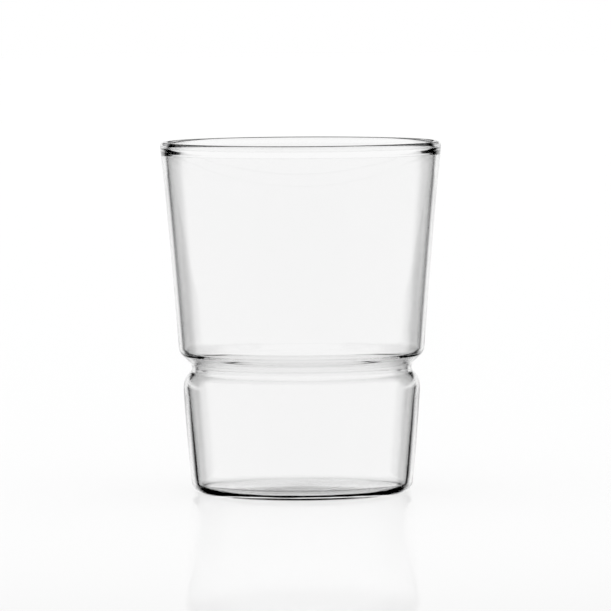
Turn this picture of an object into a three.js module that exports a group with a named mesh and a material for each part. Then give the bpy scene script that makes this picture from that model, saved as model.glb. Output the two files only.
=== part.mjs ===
// Clear glass water tumbler: a flared bowl, a narrow waist and a tapered lower cup, worked from one
// length of thin glass tube. The glass is two outlines, outside and inside, turned round the upright
// axis and divided at level seams into the five zones that are worked one after another.
// Millimetres, +Z up, origin on the table under the middle of the base.
import * as THREE from 'three';

// Overall
const HEIGHT = 100;

// Rim: the cut edge, melted back to a bead
const RIM_DIAMETER = 80; // outside of the bead
const BEAD_WIDTH = 2.4; // across the bead
const BEAD_PROUD = 0.15; // how far the bead stands out from the wall under it
const BEAD_HEIGHT = 3.2; // top of the rim down to the plain wall
const BEAD_FLANK = 1.4; // height over which the wall swells into the bead
const BEAD_BLEND_RADIUS = 2;

// Bowl: a wall that widens up to the bead, a little faster towards the top
const BOWL_BASE_DIAMETER = 70; // outside, where the wall's line meets the ledge's line
const BOWL_FLARE = 0.275; // how far the outside is hollowed, halfway up
const BOWL_TOP_WALL = 1.75;
const BOWL_BASE_WALL = 1.4;
const BOWL_CORNER_RADIUS = 3.2;

// Waist: a short neck under a sloping ledge, over a shoulder that widens to the lower cup
const WAIST_DIAMETER = 62.7; // outside of the neck
const WAIST_WALL = 1.45;
const LEDGE_RISE = 3.5; // neck up to the bowl's corner
const NECK_HEIGHT = 1.7;
const SHOULDER_DROP = 2.6; // neck down to the top of the cup's wall
const NECK_TOP_RADIUS = 2;
const NECK_BASE_RADIUS = 1.2;

// Lower cup: a tapered wall, a little fuller halfway up
const CUP_HEIGHT = 32.3; // table to the top of its wall
const CUP_TOP_DIAMETER = 67.9; // outside, where the wall's line meets the shoulder's line
const CUP_BASE_DIAMETER = 62.6; // outside, where the wall's line meets the table
const CUP_BELLY = 0.2; // how far the outside swells, halfway up
const CUP_TOP_WALL = 1.4;
const CUP_BASE_WALL = 1.85;
const SHOULDER_RADIUS = 6;

// Base: a rounded heel, a narrow ring that stands on the table and a floor that is pushed up a little
const BASE_HEIGHT = 4.6; // table to the seam under the cup
const HEEL_RADIUS = 3;
const FOOT_RING_WIDTH = 2.5;
const PUSH_UP = 0.25; // rise of the underside and of the floor at the middle
const FLOOR_THICKNESS = 1.3;
const FLOOR_CORNER_RADIUS = 2;

// Fineness of the faceted surface
const TURN_SEGMENTS = 64;
const CURVE_SEGMENTS = 5;
const ARC_STEP = Math.PI / 8;

// Least radius of an inside corner, where the soft glass flowed
const LEAST_RADIUS = 0.5;

// Points nearer than this are one point
const SAME_POINT = 1e-6;

// A corner of an outline: where its two sides would meet, the radius that rounds it off and the
// thickness of the glass there.
function corner(radius, height, rounding = 0, wall = 0) {
  return { at: new THREE.Vector2(radius, height), rounding, wall };
}

// The direction from one corner of an outline to another.
function heading(from, to) {
  return to.at.clone().sub(from.at).normalize();
}

// How far each corner's rounding reaches along its sides, shared out where a side is too short for two.
function reaches(corners) {
  const sides = corners.slice(1).map((here, i) => here.at.distanceTo(corners[i].at));
  const wanted = corners.map((here, i) => {
    if (here.rounding === 0) {
      return 0;
    }
    const bend = heading(corners[i - 1], here).angleTo(heading(here, corners[i + 1]));
    return here.rounding * Math.tan(bend / 2);
  });
  return wanted.map((reach, i) => {
    const below = i > 0 ? sides[i - 1] / (wanted[i - 1] + reach) : Infinity;
    const above = i < sides.length ? sides[i] / (wanted[i + 1] + reach) : Infinity;
    return reach * Math.min(1, below, above);
  });
}

// The points of the arc that rounds a corner off, tangent to both its sides.
function cornerArc(before, here, after, reach) {
  if (reach === 0) {
    return [here.at];
  }
  const arriving = heading(before, here);
  const leaving = heading(here, after);
  const bend = Math.sign(arriving.cross(leaving)) * arriving.angleTo(leaving);
  const start = here.at.clone().addScaledVector(arriving, -reach);
  const towardsCentre = new THREE.Vector2(-arriving.y, arriving.x);
  const centre = start.clone().addScaledVector(towardsCentre, reach / Math.tan(bend / 2));
  const steps = Math.ceil(Math.abs(bend) / ARC_STEP);
  return Array.from({ length: steps + 1 }, (_, step) =>
    start.clone().rotateAround(centre, (bend * step) / steps));
}

// The points of an outline, with its corners rounded off.
function rounded(corners) {
  const reach = reaches(corners);
  return corners.flatMap((here, i) => cornerArc(corners[i - 1], here, corners[i + 1], reach[i]));
}

// The corners of a shallow dome from the axis out to a radius, as a parabola.
function dome(radius, height, rise) {
  const curve = new THREE.QuadraticBezierCurve(
    new THREE.Vector2(0, height + rise),
    new THREE.Vector2(radius / 2, height + rise),
    new THREE.Vector2(radius, height),
  );
  return curve.getPoints(CURVE_SEGMENTS).map((point) => corner(point.x, point.y));
}

// The corners between the two ends of a side that stands out by a bow at its middle, as a parabola.
function bowed(low, high, bow) {
  const control = low.at.clone().lerp(high.at, 0.5);
  control.x += 2 * bow;
  const curve = new THREE.QuadraticBezierCurve(low.at, control, high.at);
  return curve.getPoints(CURVE_SEGMENTS).slice(1, -1).map((point) => corner(point.x, point.y));
}

// The inside's corner behind a corner of the outside: moved in by the wall, square to both sides, and
// rounded about the same centre.
function insideCorner(before, here, after) {
  const below = heading(before, here);
  const above = heading(here, after);
  const inward = new THREE.Vector2(-below.y - above.y, below.x + above.x);
  const at = here.at.clone().addScaledVector(inward, here.wall / (1 + below.dot(above)));
  const rounding = here.rounding - Math.sign(below.cross(above)) * here.wall;
  return corner(at.x, at.y, Math.max(rounding, LEAST_RADIUS));
}

// The point of a straight side, or of its line drawn on, at a height.
function atHeight(low, high, height) {
  return low.clone().lerp(high, (height - low.y) / (high.y - low.y));
}

// The stretch of an outline between two heights on its way up the wall.
function stretch(points, low, high) {
  const first = points.findLastIndex((point) => point.y < low);
  const last = points.findLastIndex((point) => point.y < high);
  const lowSeam = first < 0 ? [] : [atHeight(points[first], points[first + 1], low)];
  const highSeam = last + 1 < points.length ? [atHeight(points[last], points[last + 1], high)] : [];
  return [...lowSeam, ...points.slice(first + 1, last + 1), ...highSeam];
}

// Corners of the wall's outside, from the heel up to the bead
const neckRadius = WAIST_DIAMETER / 2;
const neckBaseHeight = CUP_HEIGHT + SHOULDER_DROP;
const neckTopHeight = neckBaseHeight + NECK_HEIGHT;
const bowlHeight = neckTopHeight + LEDGE_RISE;
const beadHeight = HEIGHT - BEAD_HEIGHT;
const heel = corner(CUP_BASE_DIAMETER / 2, 0, HEEL_RADIUS);
const cupTop = corner(CUP_TOP_DIAMETER / 2, CUP_HEIGHT, SHOULDER_RADIUS, CUP_TOP_WALL);
const neckBase = corner(neckRadius, neckBaseHeight, NECK_BASE_RADIUS, WAIST_WALL);
const neckTop = corner(neckRadius, neckTopHeight, NECK_TOP_RADIUS, WAIST_WALL);
const bowlBase = corner(BOWL_BASE_DIAMETER / 2, bowlHeight, BOWL_CORNER_RADIUS, BOWL_BASE_WALL);
const rimRadius = RIM_DIAMETER / 2;
const bowlTop = corner(rimRadius - BEAD_PROUD, beadHeight, BEAD_BLEND_RADIUS);

// The outside, from the middle of the underside to the top of the rim
const heelReach = HEEL_RADIUS * Math.tan(heading(heel, cupTop).angle() / 2);
const footRadius = heel.at.x - heelReach - FOOT_RING_WIDTH;
const beadRadius = BEAD_WIDTH / 2;
const rimTop = corner(rimRadius - beadRadius, HEIGHT);
const outside = rounded([
  ...dome(footRadius, 0, PUSH_UP),
  heel,
  ...bowed(heel, cupTop, CUP_BELLY),
  cupTop,
  neckBase,
  neckTop,
  bowlBase,
  ...bowed(bowlBase, bowlTop, -BOWL_FLARE),
  bowlTop,
  corner(rimRadius, beadHeight + BEAD_FLANK, BEAD_BLEND_RADIUS),
  corner(rimRadius, HEIGHT, beadRadius),
  rimTop,
]);

// The inside, from the middle of the floor to the top of the rim
const floorRadius = atHeight(heel.at, cupTop.at, FLOOR_THICKNESS).x - CUP_BASE_WALL;
const inside = rounded([
  ...dome(floorRadius, FLOOR_THICKNESS, PUSH_UP).slice(0, -1),
  corner(floorRadius, FLOOR_THICKNESS, FLOOR_CORNER_RADIUS),
  insideCorner(heel, cupTop, neckBase),
  insideCorner(cupTop, neckBase, neckTop),
  insideCorner(neckBase, neckTop, bowlBase),
  insideCorner(neckTop, bowlBase, bowlTop),
  corner(bowlTop.at.x - BOWL_TOP_WALL, beadHeight, BEAD_BLEND_RADIUS),
  corner(rimRadius - BEAD_WIDTH, beadHeight + BEAD_FLANK, BEAD_BLEND_RADIUS),
  corner(rimRadius - BEAD_WIDTH, HEIGHT, beadRadius),
  rimTop,
]);

// Clear borosilicate glass, smooth from the flame.
function clearGlass() {
  return new THREE.MeshStandardMaterial({
    color: 0xf3f6f6,
    roughness: 0.02,
    metalness: 0,
    transparent: true,
    opacity: 0.35,
  });
}

// One worked zone of the glass: both outlines between two seams, turned round the upright axis. A zone
// that reaches the axis starts and ends there, and a ring closes on itself.
function zone(name, low, high) {
  const loop = [...stretch(outside, low, high), ...stretch(inside, low, high).reverse()];
  const profile = loop.filter((point, i) => i === 0 || point.distanceTo(loop[i - 1]) > SAME_POINT);
  if (profile[0].x > 0) {
    profile.push(profile[0].clone());
  }
  const geometry = new THREE.LatheGeometry(profile, TURN_SEGMENTS);
  geometry.rotateX(Math.PI / 2);
  const mesh = new THREE.Mesh(geometry, clearGlass());
  mesh.name = name;
  return mesh;
}

// The seams cross the shoulder and the ledge halfway, where the glass slopes and they are widest
const shoulderSeam = CUP_HEIGHT + SHOULDER_DROP / 2;
const ledgeSeam = neckTopHeight + LEDGE_RISE / 2;

const tumbler = new THREE.Group();
tumbler.name = 'water_tumbler';
tumbler.add(
  zone('base_disc', -Infinity, BASE_HEIGHT),
  zone('lower_cup', BASE_HEIGHT, shoulderSeam),
  zone('waist_ring', shoulderSeam, ledgeSeam),
  zone('upper_bowl', ledgeSeam, beadHeight),
  zone('rim_bead', beadHeight, Infinity),
);

export default tumbler;
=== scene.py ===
"""Clear glass water tumbler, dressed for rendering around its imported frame.

The glass is one closed skin that is turned from a single outline, because the real tumbler is one
piece and a seam inside clear glass would show. It stands on a white polished table, in front of a
white background, lit so that its edges draw themselves as dark lines. Lengths are in metres.
"""

import logging
import math
from dataclasses import dataclass
from enum import Enum

import bmesh
import bpy
from mathutils import Matrix, Vector


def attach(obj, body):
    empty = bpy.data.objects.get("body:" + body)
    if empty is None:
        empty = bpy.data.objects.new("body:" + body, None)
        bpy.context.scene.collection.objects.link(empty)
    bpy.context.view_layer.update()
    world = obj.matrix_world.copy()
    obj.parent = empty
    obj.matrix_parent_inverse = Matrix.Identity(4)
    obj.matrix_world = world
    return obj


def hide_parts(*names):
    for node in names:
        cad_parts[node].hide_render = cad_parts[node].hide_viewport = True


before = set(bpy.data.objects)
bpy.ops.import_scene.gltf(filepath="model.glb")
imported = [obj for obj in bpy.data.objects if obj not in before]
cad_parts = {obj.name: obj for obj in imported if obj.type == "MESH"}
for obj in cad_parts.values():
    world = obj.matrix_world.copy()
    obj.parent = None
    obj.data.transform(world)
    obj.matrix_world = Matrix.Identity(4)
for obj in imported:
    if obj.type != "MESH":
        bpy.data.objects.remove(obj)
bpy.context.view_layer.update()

LOG = logging.getLogger("tumbler")
MM = 0.001
UP = Vector((0.0, 0.0, 1.0))
WHITE = "FFFFFF"
BLACK = "000000"


def linear(hex_colour: str) -> tuple[float, float, float, float]:
    """Turns an sRGB hex colour into the linear one that a shader reads.

    Args:
        hex_colour: Six hex digits, such as "F2F4F3".

    Returns:
        Red, green, blue and an alpha of one.
    """
    channels = [int(hex_colour[i:i + 2], 16) / 255 for i in (0, 2, 4)]
    curve = [c / 12.92 if c <= 0.04045 else ((c + 0.055) / 1.055) ** 2.4 for c in channels]
    return (*curve, 1.0)


def add_node(tree: bpy.types.NodeTree, kind: str, inputs: dict[str | int, object] | None = None,
             **settings: object) -> bpy.types.Node:
    """Adds a shader node with its settings, socket values and incoming links.

    Args:
        tree: The tree that the node goes into.
        kind: The node's Blender type name.
        inputs: Socket name or number to a value, or to the output socket that feeds it.
        **settings: Properties set on the node itself.

    Returns:
        The new node.
    """
    node = tree.nodes.new(kind)
    for name, value in settings.items():
        setattr(node, name, value)
    for name, value in (inputs or {}).items():
        if isinstance(value, bpy.types.NodeSocket):
            tree.links.new(value, node.inputs[name])
        else:
            node.inputs[name].default_value = value
    return node


def new_material(name: str) -> tuple[bpy.types.Material, bpy.types.NodeTree]:
    """Makes an empty node material.

    Args:
        name: The material's name.

    Returns:
        The material and its node tree.
    """
    material = bpy.data.materials.new(name)
    material.use_nodes = True
    material.node_tree.nodes.clear()
    return material, material.node_tree


def new_object(name: str, mesh: bmesh.types.BMesh,
               material: bpy.types.Material) -> bpy.types.Object:
    """Puts a finished mesh into the scene, at the origin and dressed.

    Args:
        name: The object's name.
        mesh: Its mesh, which is freed.
        material: Its one material.

    Returns:
        The new object.
    """
    data = bpy.data.meshes.new(name)
    mesh.to_mesh(data)
    mesh.free()
    data.materials.append(material)
    piece = bpy.data.objects.new(name, data)
    bpy.context.scene.collection.objects.link(piece)
    return piece


@dataclass(frozen=True)
class BorosilicateGlass:
    """Clear borosilicate glass, drawn as a tube and worked in a flame.

    Attributes:
        tint: Colour of the light that passes one wall.
        ior: Index of refraction.
        line_width: Width of the lines that drawing leaves up the wall.
        line_length: Length of those lines.
        line_depth: Depth of those lines.
        ring_width: Width of the broken rings that are left where the hot base is pressed flat.
        ring_length: Length of a stretch of those rings.
        ring_depth: Depth of those rings.
        ring_top: Height at which the rings end.
        seed_spacing: Distance between the tiny bubbles in the glass.
        seed_size: Radius of a bubble.
        seed_shade: Share of the light that a bubble keeps back.
    """

    tint: str = "FAFAFA"
    ior: float = 1.473
    line_width: float = 5.0 * MM
    line_length: float = 60.0 * MM
    line_depth: float = 0.004 * MM
    ring_width: float = 1.2 * MM
    ring_length: float = 14.0 * MM
    ring_depth: float = 0.04 * MM
    ring_top: float = 4.0 * MM
    seed_spacing: float = 7.0 * MM
    seed_size: float = 0.12 * MM
    seed_shade: float = 0.3

    def material(self) -> bpy.types.Material:
        """Builds the glass's shader.

        Returns:
            The material.
        """
        # Clear and almost without colour. The drawn lines make the dark edges waver a little, the
        # rings show as fine streaks on the floor, and a bubble here and there as a speck.
        material, tree = new_material("clear borosilicate glass, drawn and flame-worked")
        where = add_node(tree, "ShaderNodeTexCoord").outputs["Object"]
        glass = add_node(tree, "ShaderNodeBsdfPrincipled", {
            "Base Color": self.seeds(tree, where),
            "Roughness": 0.0,
            "IOR": self.ior,
            "Transmission Weight": 1.0,
            "Normal": self.rings(tree, where, self.lines(tree, where)),
        })
        add_node(tree, "ShaderNodeOutputMaterial", {"Surface": glass.outputs["BSDF"]})
        return material

    def lines(self, tree: bpy.types.NodeTree, where: bpy.types.NodeSocket) -> bpy.types.NodeSocket:
        """Adds the nodes for the lines that drawing leaves up the wall.

        Args:
            tree: The material's node tree.
            where: The place on the glass.

        Returns:
            The normal, with the lines on it.
        """
        across = 1 / self.line_width
        scaled = add_node(tree, "ShaderNodeMapping", {
            "Vector": where, "Scale": (across, across, 1 / self.line_length)})
        noise = add_node(tree, "ShaderNodeTexNoise", {
            "Vector": scaled.outputs[0], "Scale": 1.0, "Detail": 1.0})
        bump = add_node(tree, "ShaderNodeBump", {
            "Height": noise.outputs[0], "Distance": self.line_depth})
        return bump.outputs[0]

    def rings(self, tree: bpy.types.NodeTree, where: bpy.types.NodeSocket,
              normal: bpy.types.NodeSocket) -> bpy.types.NodeSocket:
        """Adds the nodes for the broken rings on the pressed base.

        Args:
            tree: The material's node tree.
            where: The place on the glass.
            normal: The normal that the rings are pressed into.

        Returns:
            The normal, with the rings on it.
        """
        level = add_node(tree, "ShaderNodeVectorMath", {0: where, 1: (1.0, 1.0, 0.0)},
                         operation="MULTIPLY")
        radius = add_node(tree, "ShaderNodeVectorMath", {0: level.outputs[0]}, operation="LENGTH")
        axes = add_node(tree, "ShaderNodeSeparateXYZ", {0: where})
        turned = add_node(tree, "ShaderNodeCombineXYZ", {
            "X": axes.outputs["X"], "Y": axes.outputs["Y"], "Z": radius.outputs["Value"]})
        along = 1 / self.ring_length
        scaled = add_node(tree, "ShaderNodeMapping", {
            "Vector": turned.outputs[0], "Scale": (along, along, 1 / self.ring_width)})
        noise = add_node(tree, "ShaderNodeTexNoise", {
            "Vector": scaled.outputs[0], "Scale": 1.0, "Detail": 2.0})
        base = add_node(tree, "ShaderNodeMath", {0: axes.outputs["Z"], 1: self.ring_top},
                        operation="LESS_THAN")
        bump = add_node(tree, "ShaderNodeBump", {
            "Height": noise.outputs[0], "Distance": self.ring_depth, "Strength": base.outputs[0],
            "Normal": normal})
        return bump.outputs[0]

    def seeds(self, tree: bpy.types.NodeTree, where: bpy.types.NodeSocket) -> bpy.types.NodeSocket:
        """Adds the nodes for the tiny bubbles.

        Args:
            tree: The material's node tree.
            where: The place on the glass.

        Returns:
            The glass's colour, darker at a bubble.
        """
        cells = add_node(tree, "ShaderNodeTexVoronoi", {
            "Vector": where, "Scale": 1 / self.seed_spacing})
        shade = add_node(tree, "ShaderNodeMapRange", {
            "Value": cells.outputs["Distance"], "From Min": 0.0,
            "From Max": self.seed_size / self.seed_spacing,
            "To Min": self.seed_shade, "To Max": 0.0})
        colour = add_node(tree, "ShaderNodeMixRGB", {
            0: shade.outputs[0], 1: linear(self.tint), 2: linear(BLACK)})
        return colour.outputs[0]


@dataclass(frozen=True)
class WhiteAcrylic:
    """White acrylic sheet, polished.

    Attributes:
        colour: The sheet's colour.
        roughness: How much its polish blurs a mirror image.
        ior: Index of refraction, low for a faint mirror image.
        glow: Share of its white that the light through the sheet gives, whatever falls on it.
    """

    colour: str = WHITE
    roughness: float = 0.06
    ior: float = 1.2
    glow: float = 0.62

    def material(self) -> bpy.types.Material:
        """Builds the sheet's shader.

        Returns:
            The material.
        """
        # White all over, with a pale mirror image that blurs away from the glass and a faint shadow
        # where the glass stands.
        material, tree = new_material("white acrylic, polished")
        skin = add_node(tree, "ShaderNodeBsdfPrincipled", {
            "Base Color": linear(self.colour), "Roughness": self.roughness, "IOR": self.ior})
        glow = add_node(tree, "ShaderNodeEmission", {"Color": linear(self.colour)})
        mix = add_node(tree, "ShaderNodeMixShader", {
            0: self.glow, 1: skin.outputs[0], 2: glow.outputs[0]})
        add_node(tree, "ShaderNodeOutputMaterial", {"Surface": mix.outputs[0]})
        return material


@dataclass(frozen=True)
class Corner:
    """A corner of the glass's outline, before it is rounded off.

    Attributes:
        radius: Distance from the axis.
        height: Height over the table.
        rounding: Radius that rounds the corner off.
        wall: Thickness of the glass behind it.
    """

    radius: float
    height: float
    rounding: float = 0.0
    wall: float = 0.0

    @property
    def at(self) -> Vector:
        """The corner in the outline's plane."""
        return Vector((self.radius, self.height))

    def bend(self, before: "Corner", after: "Corner") -> float:
        """The angle that the outline turns through here.

        Args:
            before: The corner before this one.
            after: The corner after this one.

        Returns:
            The angle, positive to the left.
        """
        return (after.at - self.at).angle_signed(self.at - before.at, 0.0)

    def reach(self, before: "Corner", after: "Corner") -> float:
        """How far from the corner its rounding starts.

        Args:
            before: The corner before this one.
            after: The corner after this one.

        Returns:
            The distance along either side.
        """
        return self.rounding * math.tan(abs(self.bend(before, after)) / 2)

    def behind(self, before: "Corner", after: "Corner") -> "Corner":
        """The inside's corner: moved in by the wall, with a rounding that keeps the wall even.

        Args:
            before: The corner under this one.
            after: The corner over this one.

        Returns:
            The corner of the inside.
        """
        below = (self.at - before.at).normalized()
        above = (after.at - self.at).normalized()
        inward = Vector((-below.y - above.y, below.x + above.x))
        at = self.at + inward * self.wall / (1 + below.dot(above))
        hollow = self.bend(before, after) < 0
        return Corner(at.x, at.y, self.rounding + (self.wall if hollow else -self.wall))


@dataclass
class Tumbler:
    """The whole glass, as one skin turned from its outline.

    Radii are of the outside, measured from the axis, and heights from the table.

    Attributes:
        finish: The glass.
        height: Top of the rim.
        rim_radius: Outside of the bead, a hair inside the frame's box.
        bead_width: Width across the bead.
        bead_proud: How far the bead stands out from the wall under it.
        bead_height: Top of the rim down to the plain wall.
        bead_flank: Height over which the wall swells into the bead.
        bead_blend: Rounding of that swell.
        bowl_base_radius: Where the bowl's wall would meet the ledge.
        bowl_height: Height of that corner.
        bowl_flare: How far the bowl's outside is hollowed, halfway up.
        bowl_top_wall: Thickness of the bowl under the bead.
        bowl_base_wall: Thickness of the bowl at its foot.
        bowl_corner: Rounding at the bowl's foot.
        neck_radius: Outside of the neck.
        neck_top: Top of the neck, under the ledge.
        neck_base: Foot of the neck, over the shoulder.
        neck_wall: Thickness of the neck.
        neck_top_round: Rounding under the ledge.
        neck_base_round: Rounding over the shoulder.
        cup_height: Top of the lower cup's wall.
        cup_top_radius: Where the cup's wall would meet the shoulder.
        cup_belly: How far the cup's outside swells, halfway up.
        cup_top_wall: Thickness of the cup at the shoulder.
        cup_base_wall: Thickness of the cup at the floor.
        shoulder_round: Rounding of the shoulder.
        heel_radius: Where the cup's wall would meet the table.
        heel_round: Rounding of the heel.
        foot_ring_width: Width of the flat ring that stands on the table.
        foot_ring_round: Rounding of that ring's inner edge.
        push_up: Rise of the underside at the middle.
        floor_thickness: Height of the floor at its edge.
        floor_crown: Rise of the floor at the middle.
        floor_corner: Rounding between floor and wall.
        parabola_bow: Share of its rise that a shallow dome's outline stands out from its chord.
        bow_share: Share of a bowed side that its rounding takes up.
        facet: Longest straight step of the outline.
        same_point: Points nearer than this are one point.
        turn_steps: Steps round the axis.
        arc_steps: Steps of each rounding.
    """

    finish: BorosilicateGlass
    height: float = 100.0 * MM
    rim_radius: float = 39.999 * MM
    bead_width: float = 2.4 * MM
    bead_proud: float = 0.15 * MM
    bead_height: float = 3.2 * MM
    bead_flank: float = 1.4 * MM
    bead_blend: float = 2.0 * MM
    bowl_base_radius: float = 35.0 * MM
    bowl_height: float = 40.1 * MM
    bowl_flare: float = 0.275 * MM
    bowl_top_wall: float = 1.75 * MM
    bowl_base_wall: float = 1.4 * MM
    bowl_corner: float = 3.2 * MM
    neck_radius: float = 31.35 * MM
    neck_top: float = 36.6 * MM
    neck_base: float = 34.9 * MM
    neck_wall: float = 1.45 * MM
    neck_top_round: float = 2.0 * MM
    neck_base_round: float = 1.2 * MM
    cup_height: float = 32.3 * MM
    cup_top_radius: float = 33.95 * MM
    cup_belly: float = 0.2 * MM
    cup_top_wall: float = 1.4 * MM
    cup_base_wall: float = 1.85 * MM
    shoulder_round: float = 6.0 * MM
    heel_radius: float = 31.3 * MM
    heel_round: float = 3.0 * MM
    foot_ring_width: float = 2.5 * MM
    foot_ring_round: float = 4.0 * MM
    push_up: float = 0.25 * MM
    floor_thickness: float = 1.3 * MM
    floor_crown: float = 0.25 * MM
    floor_corner: float = 2.0 * MM
    parabola_bow: float = 0.25
    bow_share: float = 0.95
    facet: float = 2.0 * MM
    same_point: float = 0.0001 * MM
    turn_steps: int = 240
    arc_steps: int = 12

    def outside(self) -> list[Corner]:
        """Lists the outside's corners.

        Returns:
            The corners, from the middle of the underside to the top of the rim.
        """
        bead_foot = self.height - self.bead_height
        bead_round = self.bead_width / 2
        heel = Corner(self.heel_radius, 0.0, self.heel_round)
        cup_top = Corner(self.cup_top_radius, self.cup_height, self.shoulder_round,
                         self.cup_top_wall)
        neck_base = Corner(self.neck_radius, self.neck_base, self.neck_base_round, self.neck_wall)
        neck_top = Corner(self.neck_radius, self.neck_top, self.neck_top_round, self.neck_wall)
        bowl_base = Corner(self.bowl_base_radius, self.bowl_height, self.bowl_corner,
                           self.bowl_base_wall)
        bowl_top = Corner(self.rim_radius - self.bead_proud, bead_foot, self.bead_blend)
        bead_low = Corner(self.rim_radius, bead_foot + self.bead_flank, self.bead_blend)
        foot = heel.radius - heel.reach(Corner(0.0, 0.0), cup_top) - self.foot_ring_width
        ring_edge = Corner(foot, 0.0, self.foot_ring_round)
        middle = Corner(0.0, self.push_up)
        dome = Vector((0.0, self.push_up * self.parabola_bow))
        belly = Vector((self.cup_belly, 0.0))
        flare = Vector((-self.bowl_flare, 0.0))
        return [
            middle,
            self.bowed((middle, middle, ring_edge, heel), dome),
            ring_edge,
            heel,
            self.bowed((ring_edge, heel, cup_top, neck_base), belly),
            cup_top,
            neck_base,
            neck_top,
            bowl_base,
            self.bowed((neck_top, bowl_base, bowl_top, bead_low), flare),
            bowl_top,
            bead_low,
            Corner(self.rim_radius, self.height, bead_round),
            Corner(self.rim_radius - bead_round, self.height),
        ]

    def bowed(self, corners: tuple[Corner, Corner, Corner, Corner], bow: Vector) -> Corner:
        """The corner that bows a side: its rounding takes up nearly all of the side.

        Args:
            corners: The side's two ends, between the corner before them and the one after.
            bow: How far the side stands out at its middle.

        Returns:
            The corner between the two ends.
        """
        before, first, last, after = corners
        middle = (first.at + last.at) / 2 + bow * 2
        corner = Corner(middle.x, middle.y)
        taken = max(first.reach(before, corner), last.reach(corner, after))
        room = ((last.at - first.at).length / 2 - taken) * self.bow_share
        rounding = room / math.tan(abs(corner.bend(first, last)) / 2)
        return Corner(middle.x, middle.y, rounding)

    def inside(self, outside: list[Corner]) -> list[Corner]:
        """Lists the inside's corners.

        Args:
            outside: The outside's corners.

        Returns:
            The corners from the rim to the middle of the floor, the top of the rim left out.
        """
        heel, _, cup_top, neck_base, neck_top, bowl_base, _, bowl_top = outside[3:11]
        bead_inner = self.rim_radius - self.bead_width
        cup_top_in = cup_top.behind(heel, neck_base)
        slope = (cup_top.radius - heel.radius) / (cup_top.height - heel.height)
        floor_radius = heel.radius + slope * self.floor_thickness - self.cup_base_wall
        floor_edge = Corner(floor_radius, self.floor_thickness, self.floor_corner)
        middle = Corner(0.0, self.floor_thickness + self.floor_crown)
        dome = Vector((0.0, self.floor_crown * self.parabola_bow))
        return [
            Corner(bead_inner, self.height, self.bead_width / 2),
            Corner(bead_inner, bowl_top.height + self.bead_flank, self.bead_blend),
            Corner(bowl_top.radius - self.bowl_top_wall, bowl_top.height, self.bead_blend),
            bowl_base.behind(neck_top, bowl_top),
            neck_top.behind(neck_base, bowl_base),
            neck_base.behind(cup_top, neck_top),
            cup_top_in,
            floor_edge,
            self.bowed((cup_top_in, floor_edge, middle, middle), dome),
            middle,
        ]

    def draw_outline(self, mesh: bmesh.types.BMesh) -> None:
        """Draws the rounded outline as a wire.

        Args:
            mesh: The empty mesh that it goes into.
        """
        outside = self.outside()
        corners = outside + self.inside(outside)
        points = [mesh.verts.new((corner.radius, 0.0, corner.height)) for corner in corners]
        for start, end in zip(points, points[1:]):
            mesh.edges.new((start, end))
        for before, corner, after, point in zip(corners, corners[1:], corners[2:], points[1:]):
            if corner.rounding > 0:
                bmesh.ops.bevel(mesh, geom=[point], offset=corner.reach(before, after),
                                offset_type="OFFSET", affect="VERTICES", segments=self.arc_steps,
                                profile=0.5, material=-1)
        for edge in list(mesh.edges):
            cuts = int(edge.calc_length() / self.facet)
            if cuts > 0:
                bmesh.ops.subdivide_edges(mesh, edges=[edge], cuts=cuts)

    def build(self) -> bpy.types.Object:
        """Turns the outline into the glass's skin.

        Returns:
            The glass, dressed and riding on its body.
        """
        mesh = bmesh.new()
        self.draw_outline(mesh)
        bmesh.ops.spin(mesh, geom=mesh.verts[:] + mesh.edges[:], cent=(0, 0, 0), axis=UP,
                       angle=math.tau, steps=self.turn_steps, use_merge=True, use_duplicate=False)
        bmesh.ops.remove_doubles(mesh, verts=mesh.verts[:], dist=self.same_point)
        bmesh.ops.recalc_face_normals(mesh, faces=mesh.faces[:])
        for face in mesh.faces:
            face.smooth = True
        glass = new_object("tumbler_glass", mesh, self.finish.material())
        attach(glass, "root")
        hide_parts("base_disc", "lower_cup", "waist_ring", "upper_bowl", "rim_bead")
        return glass


@dataclass
class Table:
    """The white table, which only the camera and the diffuse light see.

    Attributes:
        finish: The table's sheet.
        radius: Its radius, wide enough to fill the picture.
        sides: Sides of its edge, which is out of sight.
    """

    finish: WhiteAcrylic
    radius: float = 6.0
    sides: int = 64

    def build(self) -> bpy.types.Object:
        """Lays the table.

        Returns:
            The table.
        """
        mesh = bmesh.new()
        bmesh.ops.create_circle(mesh, cap_ends=True, radius=self.radius, segments=self.sides)
        table = new_object("table", mesh, self.finish.material())
        table.visible_transmission = False
        table.visible_glossy = False
        return table


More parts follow.
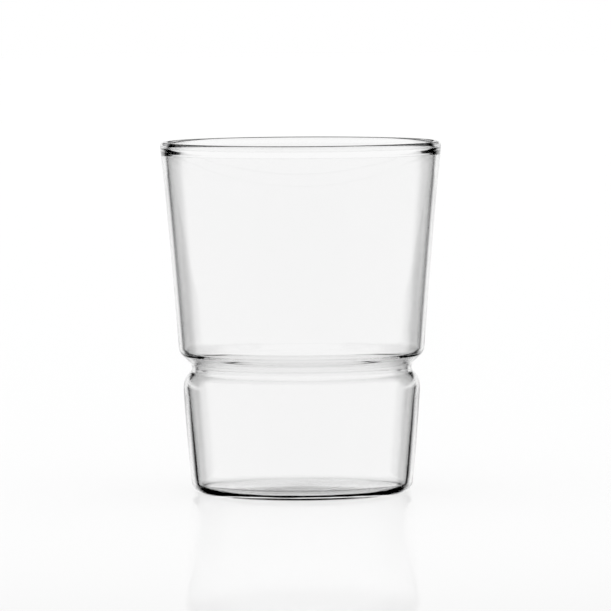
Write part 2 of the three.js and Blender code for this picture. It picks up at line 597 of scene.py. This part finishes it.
@dataclass(frozen=True)
class Viewpoint:
    """Where the photograph was taken from.

    Attributes:
        distance: Level distance from the glass's axis.
        rim_slope: Slope of the view down to the rim.
        pixels: Width and height of the picture.
        pixels_per_metre: Scale of the picture at the axis.
        axis_pixel: Column of the glass's axis.
        base_pixel: Row of the middle of the base.
        roll: Tilt of the camera, in radians.
        sensor: Width of the sensor, in millimetres as the camera takes it.
        far: Distance that the camera sees.
    """

    distance: float = 1.65
    rim_slope: float = 0.0357
    pixels: int = 611
    pixels_per_metre: float = 3504.0
    axis_pixel: float = 301.4
    base_pixel: float = 491.7
    roll: float = math.radians(-0.3)
    sensor: float = 36.0
    far: float = 100.0

    def place(self, height: float) -> bpy.types.Object:
        """Sets the camera up.

        Args:
            height: Height of the glass.

        Returns:
            The camera.
        """
        centre = self.pixels / 2
        aim = Vector(((centre - self.axis_pixel) / self.pixels_per_metre, 0.0,
                      (self.base_pixel - centre) / self.pixels_per_metre))
        eye = Vector((aim.x, -self.distance, height + self.rim_slope * self.distance))
        data = bpy.data.cameras.new("camera")
        data.sensor_width = self.sensor
        data.lens = self.sensor * self.pixels_per_metre * (aim - eye).length / self.pixels
        data.clip_end = self.far
        camera = bpy.data.objects.new("camera", data)
        bpy.context.scene.collection.objects.link(camera)
        turn = (aim - eye).to_track_quat("-Z", "Y").to_matrix() @ Matrix.Rotation(self.roll, 3, "Z")
        camera.matrix_world = Matrix.Translation(eye) @ turn.to_4x4()
        bpy.context.scene.camera = camera
        return camera


class Mirroring(Enum):
    """How a panel shows in the glass, beside straight through it."""

    ALWAYS = "in every face"
    ONCE = "in one face on the way"
    NEVER = "in no face"


@dataclass(frozen=True)
class Ray:
    """What the surroundings know of a ray that reaches them, as sockets.

    Attributes:
        ahead: How straight it heads away from the camera, from one down to minus one.
        azimuth: Its angle round the set, from straight behind the glass.
        rise: Its angle over the level.
        direct: One if no face has mirrored it.
        once: One if no face or one face has mirrored it.
        glossy: One if it comes from a smooth face.
        camera: One if it comes from the camera.
        diffuse: One or more if a matt face has spread it.
    """

    ahead: bpy.types.NodeSocket
    azimuth: bpy.types.NodeSocket
    rise: bpy.types.NodeSocket
    direct: bpy.types.NodeSocket
    once: bpy.types.NodeSocket
    glossy: bpy.types.NodeSocket
    camera: bpy.types.NodeSocket
    diffuse: bpy.types.NodeSocket

    @classmethod
    def read(cls, tree: bpy.types.NodeTree) -> "Ray":
        """Adds the nodes that read the ray.

        Args:
            tree: The world's node tree.

        Returns:
            The ray.
        """
        where = add_node(tree, "ShaderNodeTexCoord").outputs["Generated"]
        x, y, z = add_node(tree, "ShaderNodeSeparateXYZ", {0: where}).outputs
        azimuth = add_node(tree, "ShaderNodeMath", {0: x, 1: y}, operation="ARCTAN2")
        rise = add_node(tree, "ShaderNodeMath", {0: z}, operation="ARCSINE")
        path = add_node(tree, "ShaderNodeLightPath").outputs
        # The path counts the faces that mirrored the ray, so the limits lie half a count higher.
        direct, once = (
            add_node(tree, "ShaderNodeMath", {0: path["Glossy Depth"], 1: mirrored + 0.5},
                     operation="LESS_THAN")
            for mirrored in (0, 1))
        return cls(ahead=y, azimuth=azimuth.outputs[0], rise=rise.outputs[0],
                   direct=direct.outputs[0], once=once.outputs[0], glossy=path["Is Glossy Ray"],
                   camera=path["Is Camera Ray"], diffuse=path["Diffuse Depth"])


@dataclass(frozen=True)
class Panel:
    """Lit panels that stand round the set, seen only through and in the glass.

    Angles are in degrees.

    Attributes:
        count: How many stand round the set, evenly spaced.
        first: Direction of the first one, from straight behind the glass.
        half_width: Half of the angle that each one spans.
        low: Angle of the lower edge over the level.
        high: Angle of the upper edge over the level.
        softness: Angle over which an edge fades, to either side.
        mirroring: Which faces of the glass mirror the panels.
    """

    count: int
    first: float
    half_width: float
    low: float
    high: float
    softness: float
    mirroring: Mirroring = Mirroring.ALWAYS

    def shade(self, tree: bpy.types.NodeTree, ray: Ray) -> bpy.types.NodeSocket:
        """Adds the nodes that light the panels.

        Args:
            tree: The world's node tree.
            ray: The ray that meets them.

        Returns:
            One inside the panels, nought outside.
        """
        turned = add_node(tree, "ShaderNodeMath", {
            0: ray.azimuth, 1: -math.radians(self.first)}, operation="ADD")
        spaced = add_node(tree, "ShaderNodeMath", {0: turned.outputs[0], 1: self.count},
                          operation="MULTIPLY")
        wave = add_node(tree, "ShaderNodeMath", {0: spaced.outputs[0]}, operation="COSINE")
        away = add_node(tree, "ShaderNodeMath", {0: wave.outputs[0]}, operation="ARCCOSINE")
        side = [self.count * math.radians(self.half_width + s * self.softness) for s in (1, -1)]
        lower = [math.radians(self.low + s * self.softness) for s in (-1, 1)]
        upper = [math.radians(self.high + s * self.softness) for s in (1, -1)]
        shown = {Mirroring.ALWAYS: 1.0, Mirroring.ONCE: ray.once, Mirroring.NEVER: ray.direct}
        lit = shown[self.mirroring]
        edges = ((away.outputs[0], side), (ray.rise, lower), (ray.rise, upper))
        for angle, (dark, bright) in edges:
            edge = add_node(tree, "ShaderNodeMapRange", {
                "Value": angle, "From Min": dark, "From Max": bright},
                interpolation_type="SMOOTHSTEP")
            lit = add_node(tree, "ShaderNodeMath", {0: lit, 1: edge.outputs[0]},
                           operation="MULTIPLY").outputs[0]
        return lit


@dataclass(frozen=True)
class Surroundings:
    """The white that the camera and the table see, and what the glass sees of a dark studio.

    Angles are in degrees.

    Attributes:
        horizon: Rise at which the white over the table starts in the glass's faces.
        band_lit: Rise up to which that white is full, behind the glass.
        band_dark: Rise at which it has gone.
        beside: How far ahead a ray may head and still see that white at any rise.
        room_edge: Direction from which the room is white in one face, from straight behind.
        room_fade: Angle over which the room's edge fades, to either side.
        room_low: Rise at which the room starts.
        panels: The panels.
    """

    horizon: float = 1.0
    band_lit: float = 6.0
    band_dark: float = 8.0
    beside: float = 0.1
    room_edge: float = 60.0
    room_fade: float = 6.0
    room_low: float = -18.0
    panels: tuple[Panel, ...] = (
        Panel(count=4, first=0.0, half_width=28.0, low=-14.0, high=4.0, softness=5.0,
              mirroring=Mirroring.ONCE),
        Panel(count=4, first=45.0, half_width=20.0, low=-36.0, high=-10.0, softness=2.5,
              mirroring=Mirroring.NEVER),
        Panel(count=1, first=0.0, half_width=17.0, low=-45.0, high=22.0, softness=4.0,
              mirroring=Mirroring.NEVER),
        Panel(count=1, first=0.0, half_width=17.0, low=-45.0, high=0.0, softness=4.0),
    )

    def band(self, tree: bpy.types.NodeTree, ray: Ray) -> bpy.types.NodeSocket:
        """Adds the nodes for the white over the table, which keeps the glass's faces light.

        Args:
            tree: The world's node tree.
            ray: The ray that meets it.

        Returns:
            One where the white shows, nought elsewhere.
        """
        above = add_node(tree, "ShaderNodeMath", {0: ray.rise, 1: math.radians(self.horizon)},
                         operation="GREATER_THAN")
        low = add_node(tree, "ShaderNodeMapRange", {
            "Value": ray.rise, "From Min": math.radians(self.band_dark),
            "From Max": math.radians(self.band_lit)}, interpolation_type="SMOOTHSTEP")
        beside = add_node(tree, "ShaderNodeMath", {0: ray.ahead, 1: self.beside},
                          operation="LESS_THAN")
        white = add_node(tree, "ShaderNodeMath", {0: low.outputs[0], 1: beside.outputs[0]},
                         operation="MAXIMUM")
        over = add_node(tree, "ShaderNodeMath", {0: above.outputs[0], 1: white.outputs[0]},
                        operation="MULTIPLY")
        return add_node(tree, "ShaderNodeMath", {0: over.outputs[0], 1: ray.glossy},
                        operation="MULTIPLY").outputs[0]

    def room(self, tree: bpy.types.NodeTree, ray: Ray) -> bpy.types.NodeSocket:
        """Adds the nodes for the white room to the sides, which shows in one face of the glass.

        Args:
            tree: The world's node tree.
            ray: The ray that meets it.

        Returns:
            One where the room shows, nought elsewhere.
        """
        edges = [math.cos(math.radians(self.room_edge + s * self.room_fade)) for s in (-1, 1)]
        sides = add_node(tree, "ShaderNodeMapRange", {
            "Value": ray.ahead, "From Min": edges[0], "From Max": edges[1]},
            interpolation_type="SMOOTHSTEP")
        above = add_node(tree, "ShaderNodeMath", {0: ray.rise, 1: math.radians(self.room_low)},
                         operation="GREATER_THAN")
        walls = add_node(tree, "ShaderNodeMath", {0: sides.outputs[0], 1: above.outputs[0]},
                         operation="MULTIPLY")
        one_face = add_node(tree, "ShaderNodeMath", {0: ray.once, 1: ray.direct},
                            operation="SUBTRACT")
        return add_node(tree, "ShaderNodeMath", {0: walls.outputs[0], 1: one_face.outputs[0]},
                        operation="MULTIPLY").outputs[0]

    def light(self) -> bpy.types.World:
        """Surrounds the set: white for the camera and the table, panels in the dark for the glass.

        Returns:
            The world.
        """
        world = bpy.data.worlds.new("studio")
        world.use_nodes = True
        tree = world.node_tree
        tree.nodes.clear()
        ray = Ray.read(tree)
        lights = [panel.shade(tree, ray) for panel in self.panels]
        lights += [ray.diffuse, self.band(tree, ray), self.room(tree, ray)]
        bright = ray.camera
        for light in lights:
            bright = add_node(tree, "ShaderNodeMath", {0: bright, 1: light}, operation="MAXIMUM",
                              use_clamp=True).outputs[0]
        sky = add_node(tree, "ShaderNodeBackground", {"Color": linear(WHITE), "Strength": bright})
        add_node(tree, "ShaderNodeOutputWorld", {"Surface": sky.outputs[0]})
        bpy.context.scene.world = world
        return world


def main() -> None:
    """Builds the glass and the table, then sets the camera and the light."""
    logging.basicConfig(level=logging.INFO, format="%(name)s: %(message)s")
    bpy.context.scene.view_settings.view_transform = "Standard"
    tumbler = Tumbler(BorosilicateGlass())
    for part in (tumbler, Table(WhiteAcrylic())):
        piece = part.build()
        LOG.info("%s: %d faces", piece.name, len(piece.data.polygons))
    camera = Viewpoint().place(tumbler.height)
    LOG.info("%s: lens of %.1f mm", camera.name, camera.data.lens)
    world = Surroundings().light()
    LOG.info("%s: %d nodes", world.name, len(world.node_tree.nodes))


if __name__ == "__main__":
    main()
